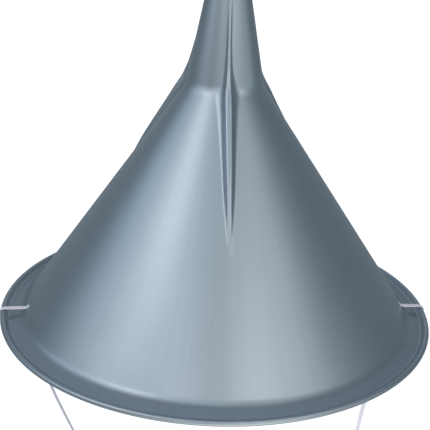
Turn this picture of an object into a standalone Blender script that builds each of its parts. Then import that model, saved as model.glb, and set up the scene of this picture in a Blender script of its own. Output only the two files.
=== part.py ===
"""Funnel hat: a moulded cone with a long open spout, three gusset ribs and a rolled brim, held on the
head by a flat elastic chin cord that is knotted inside two holes near the brim.

Metres, +Z up along the spout. The origin is the centre of the mouth, in the plane of the brim's
underside. -Y is the front, where a rib stands, and the two cord holes are near -X and +X.
"""

import math

import bmesh
import bpy
from mathutils import Matrix, Vector

MM = 0.001

# The cone and the spout, as half angles about the Z axis, and the wall.
BRIM_RADIUS = 120.0 * MM
HEIGHT = 195.0 * MM
CONE_APEX_Z = 158.5 * MM
CONE_HALF_ANGLE = math.radians(35.0)
SPOUT_HALF_ANGLE = math.radians(11.0)
SPOUT_FOOT_Z = 129.2 * MM
WALL = 1.5 * MM
SPOUT_FILLET = 14.0 * MM
FOOT_FILLET = 9.0 * MM

# The brim: a flange that slopes down from the cone to a groove, then a slim round bead on its edge.
CORNER_Z = 4.4 * MM
GROOVE_RADIUS = 115.2 * MM
GROOVE_Z = 1.65 * MM
LIP_RADIUS = 116.4 * MM
BEAD_RADIUS = 1.5 * MM
BEAD_CENTRE_Z = 2.4 * MM
BEAD_TURN = (172.0, -105.0)  # where the bead's round starts and ends, in degrees

# The ribs, from the top end to the foot: (z, height of the crest above the wall, half the crest's width,
# half the width at the wall), all in millimetres. The first rib is this far from the front, about Z.
RIB_COUNT = 3
RIB_TURN = math.radians(-1.3)
RIB_MM = [
    (180.0, 0.0, 0.6, 1.8),
    (172.0, 0.4, 0.7, 1.7),
    (160.0, 1.1, 0.8, 1.6),
    (149.0, 1.9, 0.9, 1.8),
    (139.0, 3.0, 1.1, 2.9),
    (133.0, 4.5, 1.5, 4.9),
    (128.0, 5.8, 1.9, 6.5),
    (118.0, 5.4, 1.9, 5.7),
    (98.0, 4.5, 1.7, 4.2),
    (90.0, 3.7, 1.6, 3.8),
    (82.0, 2.4, 1.4, 3.4),
    (75.0, 1.2, 1.2, 3.0),
    (70.0, 0.6, 1.0, 2.6),
    (65.0, 0.2, 0.9, 2.2),
    (60.0, 0.0, 0.8, 1.8),
]
COLUMNS_BETWEEN_RIBS = 14

# The cord holes, near the foot of the cone and a little forward of the sides.
HOLE_Z = 9.2 * MM
HOLE_FORWARD = math.radians(8.5)
HOLE_RADIUS = 2.0 * MM
HOLE_SIDES = 16

# The chin cord: a flat elastic, drawn as a round tube of its width.
CORD_WIDTH = 3.0 * MM
CORD_STEPS = 2
KNOT_SIZE = (6.2 * MM, 6.2 * MM, 4.6 * MM)
KNOT_GAP = 0.35 * MM
CORD_START = 1.9 * MM  # how far inside the outer face the cord's end is

# The hanging part of the cord's route, from the right side's bead to the left side's, in millimetres.
HANGING_MM = [
    (115.6, -10.2, -3.0),
    (110.2, -10.2, -7.6),
    (103.6, -10.0, -17.6),
    (97.6, -10.0, -32.5),
    (93.3, -10.0, -49.5),
    (90.9, -10.0, -66.0),
    (88.2, -10.2, -86.0),
    (81.5, -10.8, -109.0),
    (68.5, -11.6, -133.5),
    (47.0, -12.4, -154.0),
    (20.0, -13.0, -164.5),
    (-8.0, -13.0, -163.5),
    (-35.0, -12.4, -152.5),
    (-56.0, -11.6, -132.0),
    (-70.0, -10.8, -106.0),
    (-79.6, -10.2, -80.5),
    (-87.1, -10.0, -62.1),
    (-93.0, -10.0, -46.5),
    (-98.6, -10.0, -30.0),
    (-105.2, -10.0, -15.2),
    (-110.8, -10.2, -7.2),
    (-115.6, -10.2, -3.0),
]
# The cord's way over the brim, from its hole to under the bead, as millimetres from the axis, y and z.
OVER_BRIM_MM = [
    (112.3, -12.6, 7.9),
    (117.6, -9.9, 6.05),
    (120.3, -9.5, 5.3),
    (121.8, -9.6, 3.2),
    (121.5, -9.9, 0.8),
    (119.5, -10.1, -1.2),
]

SHELL_COLOUR = (0.36, 0.42, 0.47, 1.0)
CORD_COLOUR = (0.80, 0.80, 0.87, 1.0)


def clear_scene():
    for obj in list(bpy.data.objects):
        bpy.data.objects.remove(obj, do_unlink=True)


def material(name, colour, metallic, roughness):
    mat = bpy.data.materials.new(name)
    mat.use_nodes = True
    shader = mat.node_tree.nodes["Principled BSDF"]
    shader.inputs["Base Color"].default_value = colour
    shader.inputs["Metallic"].default_value = metallic
    shader.inputs["Roughness"].default_value = roughness
    mat.diffuse_color = colour
    return mat


def add_object(name, data, mat):
    obj = bpy.data.objects.new(name, data)
    obj.data.materials.append(mat)
    bpy.context.collection.objects.link(obj)
    return obj


# ---- The shell's section, as points (distance from the axis, z) ----


def cone_radius(z, inward=0.0):
    return math.tan(CONE_HALF_ANGLE) * (CONE_APEX_Z - z) - inward / math.cos(CONE_HALF_ANGLE)


def spout_radius(z, inward=0.0):
    at_foot = cone_radius(SPOUT_FOOT_Z)
    along = math.tan(SPOUT_HALF_ANGLE) * (SPOUT_FOOT_Z - z)
    return at_foot + along - inward / math.cos(SPOUT_HALF_ANGLE)


def arc(centre, radius, first, last, steps):
    """Points on a circle from one angle to another, in degrees, both ends included."""
    points = []
    for i in range(steps + 1):
        angle = math.radians(first + (last - first) * i / steps)
        points.append((centre[0] + radius * math.cos(angle), centre[1] + radius * math.sin(angle)))
    return points


def fillet(before, corner, after, radius, steps):
    """Points on the arc that rounds a corner between two straight runs."""
    corner = Vector(corner)
    to_before = (Vector(before) - corner).normalized()
    to_after = (Vector(after) - corner).normalized()
    half = to_before.angle(to_after) / 2
    centre = corner + (to_before + to_after).normalized() * radius / math.sin(half)
    start = corner + to_before * radius / math.tan(half) - centre
    turn = start.angle_signed(corner + to_after * radius / math.tan(half) - centre)
    points = []
    for i in range(steps + 1):
        points.append(tuple(centre + Matrix.Rotation(-turn * i / steps, 2) @ start))
    return points


def inset(before, corner, after):
    """The corner of the face that lies a wall's thickness behind two straight runs."""
    corner = Vector(corner)
    first = (corner - Vector(before)).orthogonal().normalized()
    second = (Vector(after) - corner).orthogonal().normalized()
    return tuple(corner - (first + second) * WALL / (1.0 + first.dot(second)))


# The corners of the outer face, before their fillets.
TIP = (spout_radius(HEIGHT), HEIGHT)
WAIST = (cone_radius(SPOUT_FOOT_Z), SPOUT_FOOT_Z)
FOOT = (cone_radius(CORNER_Z), CORNER_Z)
GROOVE = (GROOVE_RADIUS, GROOVE_Z)


def outer_section():
    """The outer face from the spout's tip down to the brim's lip, with a ring at each change of the ribs."""
    bead = (BRIM_RADIUS - BEAD_RADIUS, BEAD_CENTRE_Z)
    spout_curve = fillet(TIP, WAIST, FOOT, SPOUT_FILLET, 3)
    foot_curve = fillet(WAIST, FOOT, GROOVE, FOOT_FILLET, 3)
    rib_heights = [row[0] * MM for row in RIB_MM]
    spout_run = [(spout_radius(z), z) for z in rib_heights if z > spout_curve[0][1]]
    cone_run = [(cone_radius(z), z) for z in rib_heights if z < spout_curve[-1][1]]
    bead_arc = arc(bead, BEAD_RADIUS, *BEAD_TURN, 8)
    return [TIP] + spout_run + spout_curve + cone_run + foot_curve + [GROOVE] + bead_arc


def inner_section():
    """The inner face from the brim's lip back up to the spout's tip."""
    lip = (LIP_RADIUS, 0.0)
    foot = inset(WAIST, FOOT, GROOVE)
    waist = inset(TIP, WAIST, FOOT)
    bore = (spout_radius(HEIGHT, WALL), HEIGHT)
    slope = (GROOVE_Z - CORNER_Z) / (GROOVE_RADIUS - FOOT[0])
    seat = (foot[0] - foot[1] / slope, 0.0)
    foot_curve = fillet(seat, foot, waist, FOOT_FILLET + WALL, 3)
    spout_curve = fillet(foot, waist, bore, SPOUT_FILLET + WALL, 2)
    return [lip, seat] + foot_curve + spout_curve + [bore]


# ---- The shell ----


def rib_at(z):
    """The ribs' height, half crest width and half foot width at a height."""
    z = min(max(z / MM, RIB_MM[-1][0]), RIB_MM[0][0])
    for upper, lower in zip(RIB_MM, RIB_MM[1:]):
        if lower[0] <= z:
            share = (z - lower[0]) / (upper[0] - lower[0])
            return [(low + (high - low) * share) * MM for high, low in zip(upper[1:], lower[1:])]


def rib_profile(height, crest, foot):
    """Half of a rib's section from its crest outwards, a quarter ellipse, as (sideways, outwards)."""
    points = []
    for angle in (0.0, 30.0, 60.0, 90.0):
        turn = math.radians(angle)
        points.append((foot - (foot - crest) * math.cos(turn), height * (1.0 - math.sin(turn))))
    return points


def ring(radius, z, half):
    """The points of the shell at one place on its section, round from the first rib, counterclockwise."""
    profile = [(-side, out) for side, out in reversed(half)] + half
    foot_angle = math.asin(half[-1][0] / radius)
    between = 2 * math.pi / RIB_COUNT - 2 * foot_angle
    points = []
    for rib in range(RIB_COUNT):
        azimuth = RIB_TURN - math.pi / 2 + 2 * math.pi * rib / RIB_COUNT
        outwards = Vector((math.cos(azimuth), math.sin(azimuth), 0.0))
        for side, out in profile:
            angle = azimuth + math.asin(side / radius)
            on_wall = Vector((radius * math.cos(angle), radius * math.sin(angle), z))
            points.append(on_wall + outwards * out)
        for i in range(1, COLUMNS_BETWEEN_RIBS):
            angle = azimuth + foot_angle + between * i / COLUMNS_BETWEEN_RIBS
            points.append(Vector((radius * math.cos(angle), radius * math.sin(angle), z)))
    return points


def shell_mesh():
    rings = [ring(radius, z, rib_profile(*rib_at(z))) for radius, z in outer_section()]
    rings += [ring(radius, z, rib_profile(0.0, *rib_at(0.0)[1:])) for radius, z in inner_section()]
    bm = bmesh.new()
    rows = [[bm.verts.new(point) for point in points] for points in rings]
    for upper, lower in zip(rows, rows[1:] + rows[:1]):
        for i in range(len(upper)):
            j = (i + 1) % len(upper)
            bm.faces.new((upper[i], lower[i], lower[j], upper[j]))
    bmesh.ops.triangulate(bm, faces=bm.faces[:], quad_method="BEAUTY")
    bmesh.ops.recalc_face_normals(bm, faces=bm.faces[:])
    mesh = bpy.data.meshes.new("funnel_shell")
    bm.to_mesh(mesh)
    bm.free()
    mesh.shade_smooth()
    mesh.set_sharp_from_angle(angle=math.radians(30.0))
    return mesh


def hole_frame(side):
    """The middle of a cord hole on the outer face, and the wall's outward normal there. side is 1 or -1."""
    radius = cone_radius(HOLE_Z)
    forward = math.sin(HOLE_FORWARD)
    across = side * math.cos(HOLE_FORWARD)
    middle = Vector((radius * across, -radius * forward, HOLE_Z))
    level = math.cos(CONE_HALF_ANGLE)
    normal = Vector((level * across, -level * forward, math.sin(CONE_HALF_ANGLE)))
    return middle, normal


def hole_cutter(name, side):
    middle, normal = hole_frame(side)
    bm = bmesh.new()
    bmesh.ops.create_cone(
        bm,
        cap_ends=True,
        segments=HOLE_SIDES,
        radius1=HOLE_RADIUS,
        radius2=HOLE_RADIUS,
        depth=6 * WALL,
    )
    mesh = bpy.data.meshes.new(name)
    bm.to_mesh(mesh)
    bm.free()
    cutter = bpy.data.objects.new(name, mesh)
    bpy.context.collection.objects.link(cutter)
    cutter.location = middle
    cutter.rotation_euler = normal.to_track_quat("Z", "Y").to_euler()
    cutter.hide_render = True
    cutter.display_type = "WIRE"
    return cutter


def funnel_shell(plastic):
    shell = add_object("funnel_shell", shell_mesh(), plastic)
    for name, side in (("right_hole", 1), ("left_hole", -1)):
        cut = shell.modifiers.new(name, "BOOLEAN")
        cut.operation = "DIFFERENCE"
        cut.solver = "EXACT"
        cut.object = hole_cutter(name, side)
    return shell


# ---- The chin cord ----


def over_brim(side):
    """The cord's way from its knot, out of its hole and round the bead, on one side."""
    middle, normal = hole_frame(side)
    points = [middle - normal * CORD_START, middle + normal * 1.8 * MM]
    for radius, y, z in OVER_BRIM_MM:
        x = side * math.sqrt(radius**2 - y**2)
        points.append(Vector((x, y, z)) * MM)
    return points


def cord_route():
    hanging = [Vector(point) * MM for point in HANGING_MM]
    return over_brim(1) + hanging + over_brim(-1)[::-1]


def smooth_curve(route, steps):
    """Points of a curve that goes through every route point, that many to a stretch."""
    ends = [2 * route[0] - route[1]] + route + [2 * route[-1] - route[-2]]
    points = []
    for a, b, c, d in zip(ends, ends[1:], ends[2:], ends[3:]):
        ab, bc, cd = (max(math.sqrt((q - p).length), 1e-6) for p, q in ((a, b), (b, c), (c, d)))
        leave = (c - b) + bc * ((b - a) / ab - (c - a) / (ab + bc))
        arrive = (c - b) + bc * ((d - c) / cd - (d - b) / (bc + cd))
        for i in range(steps):
            t = i / steps
            points.append(
                b * (2 * t**3 - 3 * t**2 + 1)
                + c * (3 * t**2 - 2 * t**3)
                + leave * (t**3 - 2 * t**2 + t)
                + arrive * (t**3 - t**2)
            )
    points.append(route[-1])
    return points


def chin_cord(elastic):
    points = smooth_curve(cord_route(), CORD_STEPS)
    curve = bpy.data.curves.new("chin_cord", "CURVE")
    curve.dimensions = "3D"
    curve.bevel_depth = CORD_WIDTH / 2
    curve.bevel_resolution = 2
    curve.use_fill_caps = True
    spline = curve.splines.new("POLY")
    spline.points.add(len(points) - 1)
    for spline_point, point in zip(spline.points, points):
        spline_point.co = (*point, 1.0)
    return add_object("chin_cord", curve, elastic)


def cord_knot(name, side, elastic):
    """The knot that stops the cord inside its hole, a short way behind the wall's inner face."""
    middle, normal = hole_frame(side)
    bm = bmesh.new()
    bmesh.ops.create_icosphere(bm, subdivisions=3, radius=0.5)
    bmesh.ops.scale(bm, vec=KNOT_SIZE, verts=bm.verts[:])
    mesh = bpy.data.meshes.new(name)
    bm.to_mesh(mesh)
    bm.free()
    mesh.shade_smooth()
    knot = add_object(name, mesh, elastic)
    knot.location = middle - normal * (CORD_START + KNOT_GAP + KNOT_SIZE[2] / 2)
    knot.rotation_euler = normal.to_track_quat("Z", "Y").to_euler()
    return knot


def main():
    clear_scene()
    plastic = material("silver_plastic", SHELL_COLOUR, 0.7, 0.38)
    elastic = material("white_elastic", CORD_COLOUR, 0.0, 0.65)
    funnel_shell(plastic)
    chin_cord(elastic)
    cord_knot("right_cord_knot", 1, elastic)
    cord_knot("left_cord_knot", -1, elastic)


main()
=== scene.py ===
"""Looks for the funnel hat: a moulded silver cone with a long open spout, three ribs and a rolled
brim, and a flat white elastic chin cord that is knotted inside two holes.

Metres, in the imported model's frame: +Z up along the spout, -Y to the front, the origin in the
middle of the mouth, in the plane of the brim's underside.
"""

import math

import bmesh
import bpy
from mathutils import Matrix, Vector


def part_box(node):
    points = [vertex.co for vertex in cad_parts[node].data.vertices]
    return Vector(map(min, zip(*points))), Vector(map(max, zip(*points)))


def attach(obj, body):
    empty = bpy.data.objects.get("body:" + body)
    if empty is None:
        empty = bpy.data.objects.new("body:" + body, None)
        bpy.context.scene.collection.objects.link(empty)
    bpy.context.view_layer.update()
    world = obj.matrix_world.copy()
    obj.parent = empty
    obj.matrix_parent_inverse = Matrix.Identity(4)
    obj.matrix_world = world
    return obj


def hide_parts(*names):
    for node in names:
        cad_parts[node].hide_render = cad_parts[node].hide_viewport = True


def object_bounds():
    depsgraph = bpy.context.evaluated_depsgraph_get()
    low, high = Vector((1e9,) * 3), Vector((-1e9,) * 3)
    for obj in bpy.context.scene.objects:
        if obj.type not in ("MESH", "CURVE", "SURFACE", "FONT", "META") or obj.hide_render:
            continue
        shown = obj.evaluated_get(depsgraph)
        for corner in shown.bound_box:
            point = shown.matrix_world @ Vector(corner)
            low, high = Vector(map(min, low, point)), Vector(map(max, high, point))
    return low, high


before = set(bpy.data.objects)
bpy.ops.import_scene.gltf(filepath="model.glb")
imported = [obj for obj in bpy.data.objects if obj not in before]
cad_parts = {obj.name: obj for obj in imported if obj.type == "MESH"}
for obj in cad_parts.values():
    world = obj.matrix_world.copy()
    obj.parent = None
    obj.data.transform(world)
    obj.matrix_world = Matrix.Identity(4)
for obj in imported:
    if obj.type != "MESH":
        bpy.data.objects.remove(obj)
cad_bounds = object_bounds()

MM = 0.001
Z_AXIS = Vector((0.0, 0.0, 1.0))

# ---- Sizes of the shell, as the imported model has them, but for its rounder corners ----

SHELL_LOW, SHELL_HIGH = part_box("funnel_shell")
HEIGHT = SHELL_HIGH.z
BRIM_RADIUS = -SHELL_LOW.y
CONE_APEX_Z = 158.5 * MM
CONE_HALF_ANGLE = math.radians(35.0)
SPOUT_HALF_ANGLE = math.radians(11.0)
SPOUT_FOOT_Z = 129.2 * MM
WALL = 1.5 * MM
SPOUT_FILLET = 14.0 * MM
FOOT_FILLET = 9.0 * MM
TIP_ROUND = 0.45 * MM
CORNER_Z = 4.4 * MM
GROOVE = (115.5 * MM, 1.54 * MM)
GROOVE_ROUND = 1.0 * MM
LIP_RADIUS = 116.4 * MM
LIP_ROUND = 0.35 * MM
BEAD_RADIUS = 1.5 * MM
BEAD_CENTRE = (BRIM_RADIUS - BEAD_RADIUS, 2.4 * MM)
BEAD_TURN = (150.0, -105.0)  # where the bead's round starts and ends, in degrees

RIB_COUNT = 3
RIB_TURN = math.radians(-1.3)  # how far the first rib is from the front, about Z
# The ribs, from the top end to the foot: (z, height of the crest above the wall, half the crest's width,
# half the width at the wall), all in millimetres.
RIB_MM = [
    (180.0, 0.0, 0.6, 1.8),
    (172.0, 0.4, 0.7, 1.7),
    (160.0, 1.1, 0.8, 1.6),
    (149.0, 1.9, 0.9, 1.8),
    (139.0, 3.0, 1.1, 2.9),
    (133.0, 4.5, 1.5, 4.9),
    (128.0, 5.8, 1.9, 6.5),
    (118.0, 5.4, 1.9, 5.7),
    (98.0, 4.5, 1.7, 4.2),
    (90.0, 3.7, 1.6, 3.8),
    (82.0, 2.4, 1.4, 3.4),
    (75.0, 1.2, 1.2, 3.0),
    (70.0, 0.6, 1.0, 2.6),
    (65.0, 0.2, 0.9, 2.2),
    (60.0, 0.0, 0.8, 1.8),
]
RIB_HEIGHT = max(row[1] for row in RIB_MM) * MM
CREST_ROUND = 1.3 * MM
RIB_DRAFT = math.radians(12.0)  # the flanks' slant where the ribs are highest
FADING_DRAFT = math.radians(50.0)  # and where they fade out
# How far the flank's curve keeps to its slant at the top, and to the wall at its foot, as shares.
FLANK_KEEP = 0.58
FOOT_KEEP = 0.55
LEAST_PROFILE = 0.8 * MM  # a lower rib than this is drawn as a flattened one of this height
CREST_STEPS = 5
FLANK_STEPS = 12
GRID_STEP = 1.6 * MM
COLUMNS_BETWEEN_RIBS = 96

# ---- The cord: holes, size and route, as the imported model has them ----

HOLE_Z = 9.2 * MM
HOLE_FORWARD = math.radians(8.5)
HOLE_RADIUS = 2.0 * MM
CORD_WIDTH = 3.0 * MM
CORD_THICKNESS = 0.6 * MM
CORD_START = 1.9 * MM
CORD_STEPS = 12
HANGING = [
    (0.1156, -0.0102, -0.0030),
    (0.1102, -0.0102, -0.0076),
    (0.1036, -0.0100, -0.0176),
    (0.0976, -0.0100, -0.0325),
    (0.0933, -0.0100, -0.0495),
    (0.0909, -0.0100, -0.0660),
    (0.0882, -0.0102, -0.0860),
    (0.0815, -0.0108, -0.1090),
    (0.0685, -0.0116, -0.1335),
    (0.0470, -0.0124, -0.1540),
    (0.0200, -0.0130, -0.1645),
    (-0.0080, -0.0130, -0.1635),
    (-0.0350, -0.0124, -0.1525),
    (-0.0560, -0.0116, -0.1320),
    (-0.0700, -0.0108, -0.1060),
    (-0.0796, -0.0102, -0.0805),
    (-0.0871, -0.0100, -0.0621),
    (-0.0930, -0.0100, -0.0465),
    (-0.0986, -0.0100, -0.0300),
    (-0.1052, -0.0100, -0.0152),
    (-0.1108, -0.0102, -0.0072),
    (-0.1156, -0.0102, -0.0030),
]
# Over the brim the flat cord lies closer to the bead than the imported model's round tube.
# These are (distance from the axis, y, z).
OVER_BRIM = [
    (0.1063, -0.0157, 0.0079),
    (0.1125, -0.0125, 0.0061),
    (0.1188, -0.0094, 0.0042),
    (0.1201, -0.0093, 0.0033),
    (0.1202, -0.0096, 0.0017),
    (0.1191, -0.0099, 0.0005),
]
# How far the cord's flat side turns about its own run, as (point of the route, degrees).
CORD_TWIST = [(0, 0), (9, 0), (12, 86), (14, 60), (18, 0), (22, 0), (25, -12), (29, 0), (37, 0)]


# ---- Small helpers ----


def new_object(name, mesh, material):
    obj = bpy.data.objects.new(name, mesh)
    bpy.context.scene.collection.objects.link(obj)
    mesh.materials.append(material)
    return obj


def between(keys, x):
    """A smooth value at x between (x, value) keys in rising order of x."""
    if x <= keys[0][0]:
        return keys[0][1]
    for (x0, v0), (x1, v1) in zip(keys, keys[1:]):
        if x <= x1:
            t = (x - x0) / (x1 - x0)
            return v0 + (v1 - v0) * t * t * (3 - 2 * t)
    return keys[-1][1]


def smooth_curve(route, steps):
    """Points of a curve that goes through every route point, that many to a stretch."""
    ends = [2 * route[0] - route[1]] + route + [2 * route[-1] - route[-2]]
    points = []
    for a, b, c, d in zip(ends, ends[1:], ends[2:], ends[3:]):
        ab, bc, cd = (max(math.sqrt((q - p).length), 1e-6) for p, q in ((a, b), (b, c), (c, d)))
        leave = (c - b) + bc * ((b - a) / ab - (c - a) / (ab + bc))
        arrive = (c - b) + bc * ((d - c) / cd - (d - b) / (bc + cd))
        for i in range(steps):
            t = i / steps
            points.append(
                b * (2 * t**3 - 3 * t**2 + 1)
                + c * (3 * t**2 - 2 * t**3)
                + leave * (t**3 - 2 * t**2 + t)
                + arrive * (t**3 - t**2)
            )
    points.append(route[-1])
    return points


# ---- Camera ----

CAMERA_PLACE = (-0.04714, -0.42697, 0.21672)
CAMERA_TURN_DEG = (69.4802, -2.2488, -5.1675)
CAMERA_LENS = 69.483


def make_camera():
    camera = bpy.data.objects.new("camera", bpy.data.cameras.new("camera"))
    bpy.context.scene.collection.objects.link(camera)
    camera.location = CAMERA_PLACE
    camera.rotation_euler = [math.radians(a) for a in CAMERA_TURN_DEG]
    camera.data.lens = CAMERA_LENS
    camera.data.sensor_width = 36.0
    camera.data.clip_start = 0.01
    bpy.context.scene.camera = camera


make_camera()


# ---- Materials ----


def new_material(name):
    material = bpy.data.materials.new(name)
    material.use_nodes = True
    tree = material.node_tree
    return material, tree, tree.nodes["Principled BSDF"]


def add_node(tree, kind, **sockets):
    node = tree.nodes.new(kind)
    for name, value in sockets.items():
        node.inputs[name].default_value = value
    return node


def ramp(tree, source, stops):
    """A colour ramp on a socket, with (position, colour) stops."""
    node = tree.nodes.new("ShaderNodeValToRGB")
    elements = node.color_ramp.elements
    for element, (position, colour) in zip(elements, stops):
        element.position = position
        element.color = colour
    for position, colour in stops[len(elements):]:
        elements.new(position).color = colour
    tree.links.new(source, node.inputs["Fac"])
    return node.outputs["Color"]


def silver_plastic():
    material, tree, shader = new_material("silver_plastic")
    link = tree.links.new
    place = tree.nodes.new("ShaderNodeTexCoord").outputs["Object"]
    flow = add_node(tree, "ShaderNodeTexNoise", Scale=38.0, Detail=4.0, Roughness=0.55)
    link(place, flow.inputs["Vector"])
    around = tree.nodes.new("ShaderNodeTexGradient")
    around.gradient_type = "RADIAL"
    link(place, around.inputs["Vector"])
    streaks = add_node(tree, "ShaderNodeTexNoise", Scale=170.0, Detail=2.0, Roughness=0.6)
    streaks.noise_dimensions = "1D"
    link(around.outputs["Fac"], streaks.inputs["W"])
    both = add_node(tree, "ShaderNodeMix", Factor=0.45)
    link(flow.outputs["Fac"], both.inputs["A"])
    link(streaks.outputs["Fac"], both.inputs["B"])
    colour = ramp(
        tree,
        both.outputs["Result"],
        [(0.25, (0.315, 0.375, 0.425, 1.0)), (0.75, (0.345, 0.405, 0.455, 1.0))],
    )
    link(colour, shader.inputs["Base Color"])
    grain = add_node(tree, "ShaderNodeTexNoise", Scale=2600.0, Detail=2.0, Roughness=0.5)
    link(place, grain.inputs["Vector"])
    shader.inputs["Roughness"].default_value = 0.28
    bump = add_node(tree, "ShaderNodeBump", Strength=0.12, Distance=0.00005)
    link(grain.outputs["Fac"], bump.inputs["Height"])
    link(bump.outputs["Normal"], shader.inputs["Normal"])
    shader.inputs["Metallic"].default_value = 0.85
    return material


def white_elastic():
    material, tree, shader = new_material("white_elastic")
    link = tree.links.new
    uv = tree.nodes.new("ShaderNodeTexCoord").outputs["UV"]
    weave = add_node(tree, "ShaderNodeTexWave", Scale=1.0, Distortion=0.4)
    weave.wave_type = "BANDS"
    weave.bands_direction = "DIAGONAL"
    link(uv, weave.inputs["Vector"])
    colour = ramp(
        tree,
        weave.outputs["Fac"],
        [(0.0, (0.66, 0.66, 0.76, 1.0)), (0.7, (0.84, 0.84, 0.90, 1.0))],
    )
    link(colour, shader.inputs["Base Color"])
    bump = add_node(tree, "ShaderNodeBump", Strength=0.5, Distance=0.0001)
    link(weave.outputs["Fac"], bump.inputs["Height"])
    link(bump.outputs["Normal"], shader.inputs["Normal"])
    shader.inputs["Roughness"].default_value = 0.72
    shader.inputs["Sheen Weight"].default_value = 0.25
    shader.inputs["Sheen Roughness"].default_value = 0.4
    return material


PLASTIC = silver_plastic()
ELASTIC = white_elastic()


# ---- The chin cord ----


def hole_frame(side):
    """The middle of a cord hole on the outer face, and the wall's outward normal there. side is 1 or -1."""
    radius = cone_radius(HOLE_Z)
    forward = math.sin(HOLE_FORWARD)
    across = side * math.cos(HOLE_FORWARD)
    middle = Vector((radius * across, -radius * forward, HOLE_Z))
    level = math.cos(CONE_HALF_ANGLE)
    normal = Vector((level * across, -level * forward, math.sin(CONE_HALF_ANGLE)))
    return middle, normal


def cone_radius(z, inward=0.0):
    return math.tan(CONE_HALF_ANGLE) * (CONE_APEX_Z - z) - inward / math.cos(CONE_HALF_ANGLE)


def spout_radius(z, inward=0.0):
    at_foot = cone_radius(SPOUT_FOOT_Z)
    along = math.tan(SPOUT_HALF_ANGLE) * (SPOUT_FOOT_Z - z)
    return at_foot + along - inward / math.cos(SPOUT_HALF_ANGLE)


def over_brim(side):
    """The cord's way from its knot, out of its hole and round the bead, on one side."""
    middle, normal = hole_frame(side)
    down = Vector((normal.x, normal.y, 0.0)).normalized() * math.sin(CONE_HALF_ANGLE)
    down -= Z_AXIS * math.cos(CONE_HALF_ANGLE)
    points = [middle - normal * CORD_START, middle + down * 1.0 * MM - normal * 0.3 * MM]
    for radius, y, z in OVER_BRIM:
        points.append(Vector((side * math.sqrt(radius**2 - y**2), y, z)))
    return points


def tape_section(width, thickness):
    """A flat tape's outline as (across, out of its face): round edges and shallow lengthwise ridges."""
    ridges = 5
    across_steps = 20
    face = []
    for i in range(across_steps + 1):
        across = -1.0 + 2.0 * i / across_steps
        ridge = 0.84 + 0.16 * abs(math.cos(math.pi * ridges * (across + 1.0) / 2 + math.pi / 2))
        edge = math.sqrt(max(0.0, 1.0 - abs(across) ** 7))
        face.append((across * width / 2, max(0.28, ridge * edge) * thickness / 2))
    return face + [(across, -out) for across, out in reversed(face)]


def sweep_tape(name, path, across_at, width, thickness, material):
    """A closed tape along a path. across_at gives, for a point's number and its run, which way it is wide."""
    section = tape_section(width, thickness)
    count = len(section)
    bm = bmesh.new()
    uv_layer = bm.loops.layers.uv.new("UVMap")
    rings = []
    along = []
    length = 0.0
    for i, point in enumerate(path):
        run = (path[min(i + 1, len(path) - 1)] - path[max(i - 1, 0)]).normalized()
        across = across_at(i, run)
        across = (across - run * across.dot(run)).normalized()
        out = run.cross(across)
        rings.append([bm.verts.new(point + across * a + out * o) for a, o in section])
        length += (point - path[max(i - 1, 0)]).length
        along.append(length)
    for i, (ring, following) in enumerate(zip(rings, rings[1:])):
        for k in range(count):
            n = (k + 1) % count
            face = bm.faces.new((ring[k], ring[n], following[n], following[k]))
            corners = ((k, i), (k + 1, i), (k + 1, i + 1), (k, i + 1))
            for loop, (step, station) in zip(face.loops, corners):
                loop[uv_layer].uv = (step / count * 10.0, along[station] / width * 4.0)
    bm.faces.new(list(reversed(rings[0])))
    bm.faces.new(rings[-1])
    bmesh.ops.recalc_face_normals(bm, faces=bm.faces[:])
    mesh = bpy.data.meshes.new(name)
    bm.to_mesh(mesh)
    bm.free()
    mesh.shade_smooth()
    mesh.set_sharp_from_angle(angle=math.radians(55.0))
    return new_object(name, mesh, material)


def make_cord():
    route = over_brim(1) + [Vector(point) for point in HANGING] + over_brim(-1)[::-1]
    path = smooth_curve(route, CORD_STEPS)

    def across_at(i, run):
        """Wide along Y, turned about the run by the twist there."""
        level = Vector((0.0, 1.0, 0.0))
        level = (level - run * level.dot(run)).normalized()
        return Matrix.Rotation(math.radians(between(CORD_TWIST, i / CORD_STEPS)), 3, run) @ level

    cord = sweep_tape("elastic_cord", path, across_at, CORD_WIDTH, CORD_THICKNESS, ELASTIC)
    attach(cord, "root")
    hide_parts("chin_cord")
    return cord, path


def make_knot(name, node, side):
    """An overhand knot in the tape, drawn up against the inside of its hole."""
    middle, normal = hole_frame(side)
    turn = normal.to_track_quat("Z", "Y").to_matrix()
    centre = middle - normal * (CORD_START + 2.3 * MM)
    loops = 54
    path = [middle - normal * (CORD_START - 0.2 * MM)]
    for i in range(loops + 1):
        t = math.radians(38.0) + math.radians(322.0) * i / loops
        curl = Vector(
            (
                (math.sin(t) + 2 * math.sin(2 * t)) * 0.74 * MM,
                (math.cos(t) - 2 * math.cos(2 * t)) * 0.74 * MM,
                -math.sin(3 * t) * 1.15 * MM,
            )
        )
        path.append(centre + turn @ curl)
    tail = (path[-1] - path[-2]).normalized()
    path += [path[-1] + tail * 1.5 * MM, path[-1] + tail * 3.0 * MM - Z_AXIS * 0.8 * MM]
    path = smooth_curve(path, 2)
    knot = sweep_tape(
        name,
        path,
        lambda i, run: run.cross(path[i] - centre) + normal * 0.3 * MM,
        1.7 * MM,
        0.85 * MM,
        ELASTIC,
    )
    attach(knot, "root")
    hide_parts(node)
    return knot


cord, cord_path = make_cord()
knots = [
    make_knot("right_knot", "right_cord_knot", 1),
    make_knot("left_knot", "left_cord_knot", -1),
]


# ---- The shell ----


def arc(centre, radius, first, last, steps):
    """Points on a circle from one angle to another, in degrees, both ends included."""
    points = []
    for i in range(steps + 1):
        angle = math.radians(first + (last - first) * i / steps)
        points.append((centre[0] + radius * math.cos(angle), centre[1] + radius * math.sin(angle)))
    return points


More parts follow.
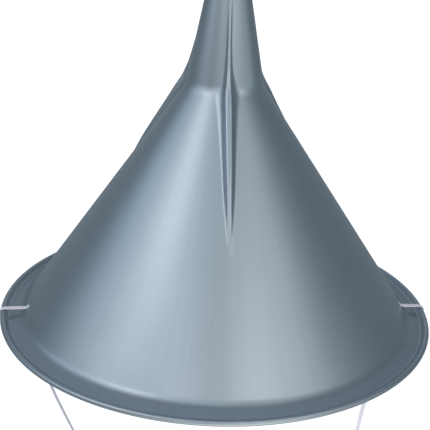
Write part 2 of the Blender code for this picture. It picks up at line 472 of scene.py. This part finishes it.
def fillet(before, corner, after, radius, steps):
    """Points on the arc that rounds a corner between two straight runs."""
    corner = Vector(corner)
    to_before = (Vector(before) - corner).normalized()
    to_after = (Vector(after) - corner).normalized()
    half = to_before.angle(to_after) / 2
    centre = corner + (to_before + to_after).normalized() * radius / math.sin(half)
    start = corner + to_before * radius / math.tan(half) - centre
    turn = start.angle_signed(corner + to_after * radius / math.tan(half) - centre)
    points = []
    for i in range(steps + 1):
        points.append(tuple(centre + Matrix.Rotation(-turn * i / steps, 2) @ start))
    return points


def stepped(points, step):
    """The same outline with extra points, so that no straight run is longer than the step."""
    made = [points[0]]
    for start, end in zip(points, points[1:]):
        count = max(1, math.ceil((Vector(end) - Vector(start)).length / step))
        for i in range(1, count + 1):
            made.append(tuple(Vector(start).lerp(Vector(end), i / count)))
    return made


def inset(before, corner, after):
    """The corner of the face that lies a wall's thickness behind two straight runs."""
    corner = Vector(corner)
    first = (corner - Vector(before)).orthogonal().normalized()
    second = (Vector(after) - corner).orthogonal().normalized()
    return tuple(corner - (first + second) * WALL / (1.0 + first.dot(second)))


# The corners of the section, before their fillets, as (distance from the axis, z).
TIP = (spout_radius(HEIGHT), HEIGHT)
BORE = (spout_radius(HEIGHT, WALL), HEIGHT)
WAIST = (cone_radius(SPOUT_FOOT_Z), SPOUT_FOOT_Z)
FOOT = (cone_radius(CORNER_Z), CORNER_Z)
LIP = (LIP_RADIUS, 0.0)


def outer_section():
    """The outer face from the spout's tip down to the bead's underside."""
    bead_arc = arc(BEAD_CENTRE, BEAD_RADIUS, *BEAD_TURN, 34)
    faces = fillet(BORE, TIP, WAIST, TIP_ROUND, 5)
    faces += fillet(TIP, WAIST, FOOT, SPOUT_FILLET, 12)
    faces += fillet(WAIST, FOOT, GROOVE, FOOT_FILLET, 14)
    faces += fillet(FOOT, GROOVE, bead_arc[0], GROOVE_ROUND, 6)
    return stepped(faces, GRID_STEP) + bead_arc


def inner_section():
    """The inner face from the brim's lip back up to the spout's tip."""
    foot = inset(WAIST, FOOT, GROOVE)
    waist = inset(TIP, WAIST, FOOT)
    slope = (GROOVE[1] - FOOT[1]) / (GROOVE[0] - FOOT[0])
    seat = (foot[0] - foot[1] / slope, 0.0)
    bead_end = arc(BEAD_CENTRE, BEAD_RADIUS, *BEAD_TURN, 1)[1]
    faces = fillet(bead_end, LIP, seat, LIP_ROUND, 4)
    faces += fillet(LIP, seat, foot, LIP_ROUND, 3)
    faces += fillet(seat, foot, waist, FOOT_FILLET + WALL, 12)
    faces += fillet(foot, waist, BORE, SPOUT_FILLET + WALL, 10)
    faces += fillet(waist, BORE, TIP, TIP_ROUND, 5)
    return stepped(faces, 5 * GRID_STEP)


RIB_LINES = [smooth_curve([Vector((row[0], row[k])) * MM for row in RIB_MM], 8) for k in (1, 2, 3)]


def rib_at(z):
    """The ribs' height, half crest width and half foot width at a height."""
    z = min(max(z, RIB_MM[-1][0] * MM), RIB_MM[0][0] * MM)
    sizes = []
    for line in RIB_LINES:
        for above, below in zip(line, line[1:]):
            if below.x <= z + 1e-6:
                share = (z - below.x) / max(above.x - below.x, 1e-6)
                sizes.append(max(0.0, below.y + (above.y - below.y) * share))
                break
    return sizes


def rib_profile(height, crest, foot):
    """Half of a rib's cross section from the middle of its crest outwards, as (sideways, outwards)."""
    full = max(height, LEAST_PROFILE)
    edge = min(CREST_ROUND, 0.45 * full, 0.8 * crest)
    draft = FADING_DRAFT + (RIB_DRAFT - FADING_DRAFT) * height / RIB_HEIGHT
    points = [(0.0, full), (0.55 * (crest - edge), full)]
    for i in range(CREST_STEPS + 1):
        angle = (math.pi / 2 - draft) * i / CREST_STEPS
        points.append((crest - edge + edge * math.sin(angle), full - edge + edge * math.cos(angle)))
    top = Vector(points[-1])
    down = Vector((math.sin(draft), -math.cos(draft)))
    bottom = Vector((foot, 0.0))
    approach = Vector((foot - FOOT_KEEP * (foot - top.x), 0.0))
    curve = [top, top + down * FLANK_KEEP * top.y, approach, bottom]
    for i in range(1, FLANK_STEPS + 1):
        t = i / FLANK_STEPS
        shares = ((1 - t) ** 3, 3 * t * (1 - t) ** 2, 3 * t * t * (1 - t), t**3)
        spot = sum((point * share for point, share in zip(curve, shares)), Vector((0.0, 0.0)))
        points.append(tuple(spot))
    return [(side, out * height / full) for side, out in points]


def ring(radius, z, half):
    """The points of the shell at one place on its section, round from the first rib, counterclockwise."""
    profile = [(-side, out) for side, out in reversed(half[1:])] + half
    foot_angle = math.asin(half[-1][0] / radius)
    between_ribs = 2 * math.pi / RIB_COUNT - 2 * foot_angle
    points = []
    for rib in range(RIB_COUNT):
        azimuth = RIB_TURN - math.pi / 2 + 2 * math.pi * rib / RIB_COUNT
        outwards = Vector((math.cos(azimuth), math.sin(azimuth), 0.0))
        for side, out in profile:
            angle = azimuth + math.asin(side / radius)
            on_wall = Vector((radius * math.cos(angle), radius * math.sin(angle), z))
            points.append(on_wall + outwards * out)
        for i in range(1, COLUMNS_BETWEEN_RIBS):
            angle = azimuth + foot_angle + between_ribs * i / COLUMNS_BETWEEN_RIBS
            points.append(Vector((radius * math.cos(angle), radius * math.sin(angle), z)))
    return points


def shell_mesh():
    rings = [ring(radius, z, rib_profile(*rib_at(z))) for radius, z in outer_section()]
    rings += [ring(radius, z, rib_profile(0.0, *rib_at(0.0)[1:])) for radius, z in inner_section()]
    bm = bmesh.new()
    rows = [[bm.verts.new(point) for point in points] for points in rings]
    for upper, lower in zip(rows, rows[1:] + rows[:1]):
        for i in range(len(upper)):
            j = (i + 1) % len(upper)
            bm.faces.new((upper[i], lower[i], lower[j], upper[j]))
    bmesh.ops.recalc_face_normals(bm, faces=bm.faces[:])
    mesh = bpy.data.meshes.new("moulded_shell")
    bm.to_mesh(mesh)
    bm.free()
    return mesh


def turned_cutter(side):
    """What the drill takes away at a cord hole: a round bore whose outer edge is broken."""
    middle, normal = hole_frame(side)
    depth = 4 * WALL
    outline = [
        (0.0, -depth),
        (HOLE_RADIUS, -depth),
        (HOLE_RADIUS, -0.55 * MM),
        (HOLE_RADIUS + 0.12 * MM, -0.22 * MM),
        (HOLE_RADIUS + 0.45 * MM, 0.12 * MM),
        (HOLE_RADIUS + 0.9 * MM, 2 * WALL),
        (0.0, 2 * WALL),
    ]
    sides = 40
    bm = bmesh.new()
    verts = [bm.verts.new((radius, 0.0, z)) for radius, z in outline]
    edges = [bm.edges.new(pair) for pair in zip(verts, verts[1:])]
    bmesh.ops.spin(
        bm,
        geom=verts + edges,
        axis=(0, 0, 1),
        cent=(0, 0, 0),
        steps=sides,
        angle=2 * math.pi,
        use_duplicate=False,
    )
    bmesh.ops.remove_doubles(bm, verts=bm.verts[:], dist=1e-6)
    bmesh.ops.recalc_face_normals(bm, faces=bm.faces[:])
    mesh = bpy.data.meshes.new("cutter")
    bm.to_mesh(mesh)
    bm.free()
    cutter = bpy.data.objects.new("cutter", mesh)
    bpy.context.scene.collection.objects.link(cutter)
    cutter.location = middle
    cutter.rotation_euler = normal.to_track_quat("Z", "Y").to_euler()
    return cutter


def make_shell():
    shell = new_object("moulded_shell", shell_mesh(), PLASTIC)
    cutters = [turned_cutter(side) for side in (1, -1)]
    for cutter in cutters:
        cut = shell.modifiers.new("hole", "BOOLEAN")
        cut.operation = "DIFFERENCE"
        cut.solver = "EXACT"
        cut.object = cutter
    bpy.context.view_layer.update()
    evaluated = shell.evaluated_get(bpy.context.evaluated_depsgraph_get())
    mesh = bpy.data.meshes.new_from_object(evaluated)
    shell.modifiers.clear()
    shell.data = mesh
    for cutter in cutters:
        bpy.data.objects.remove(cutter)
    mesh.shade_smooth()
    mesh.set_sharp_from_angle(angle=math.radians(38.0))
    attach(shell, "root")
    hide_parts("funnel_shell")
    return shell


make_shell()


# ---- Studio ----

FLOOR_DROP = 0.16  # under the lowest point of the cord


def make_floor():
    low, high = cad_bounds
    bm = bmesh.new()
    bmesh.ops.create_circle(bm, cap_ends=True, segments=96, radius=12.0)
    mesh = bpy.data.meshes.new("floor")
    bm.to_mesh(mesh)
    bm.free()
    material, tree, shader = new_material("floor")
    shader.inputs["Base Color"].default_value = (0.93, 0.93, 0.93, 1.0)
    shader.inputs["Roughness"].default_value = 0.9
    shader.inputs["Emission Color"].default_value = (1.0, 1.0, 1.0, 1.0)
    shader.inputs["Emission Strength"].default_value = 0.6
    floor = new_object("floor", mesh, material)
    floor.location.z = low.z - FLOOR_DROP
    floor.visible_glossy = False


# Soft lights of the studio round the hat: (azimuth, elevation, tightness, colour). Azimuth 0 is in front
# and 90 on the right, in degrees.
SOFT_LIGHTS = [
    (-60.0, 47.0, 30.0, (1.65, 1.60, 1.55)),  # key
    (-75.0, 30.0, 14.0, (0.95, 0.95, 1.00)),
    (-105.0, 30.0, 30.0, (0.40, 0.50, 0.60)),
    (-25.0, 30.0, 30.0, (1.40, 1.35, 1.35)),  # front
    (15.0, 30.0, 30.0, (1.45, 1.30, 1.25)),
    (45.0, 30.0, 14.0, (1.00, 0.95, 0.90)),  # fill
    (75.0, 0.0, 30.0, (0.35, 0.40, 0.40)),
    (-10.0, 60.0, 30.0, (0.65, 0.70, 0.70)),  # above
    (45.0, 60.0, 30.0, (0.35, 0.35, 0.35)),
    (180.0, 60.0, 8.0, (0.25, 0.25, 0.30)),  # behind
    (180.0, 20.0, 6.0, (0.15, 0.15, 0.15)),
    (15.0, -30.0, 8.0, (1.20, 1.20, 1.10)),  # the table in front
    (0.0, -50.0, 4.0, (1.00, 0.90, 0.80)),
]
AMBIENT = (0.17, 0.21, 0.24)


def make_world():
    world = bpy.data.worlds.new("studio")
    world.use_nodes = True
    tree = world.node_tree
    direction = tree.nodes.new("ShaderNodeTexCoord").outputs["Generated"]
    total = None
    for azimuth, elevation, tightness, colour in SOFT_LIGHTS:
        a, e = math.radians(azimuth), math.radians(elevation)
        towards = tree.nodes.new("ShaderNodeVectorMath")
        towards.operation = "DOT_PRODUCT"
        towards.inputs[1].default_value = (
            math.sin(a) * math.cos(e),
            -math.cos(a) * math.cos(e),
            math.sin(e),
        )
        tree.links.new(direction, towards.inputs[0])
        fall = tree.nodes.new("ShaderNodeMath")
        fall.operation = "MULTIPLY_ADD"
        fall.inputs[1].default_value = tightness
        fall.inputs[2].default_value = -tightness
        tree.links.new(towards.outputs["Value"], fall.inputs[0])
        lobe = tree.nodes.new("ShaderNodeMath")
        lobe.operation = "EXPONENT"
        tree.links.new(fall.outputs[0], lobe.inputs[0])
        added = tree.nodes.new("ShaderNodeVectorMath")
        added.operation = "MULTIPLY_ADD"
        added.inputs[1].default_value = colour
        added.inputs[2].default_value = AMBIENT
        tree.links.new(lobe.outputs[0], added.inputs[0])
        if total:
            tree.links.new(total, added.inputs[2])
        total = added.outputs[0]
    background = tree.nodes["Background"]
    background.inputs["Strength"].default_value = 1.0
    tree.links.new(total, background.inputs["Color"])
    bpy.context.scene.world = world


make_floor()
make_world()
bpy.context.scene.view_settings.view_transform = "Standard"
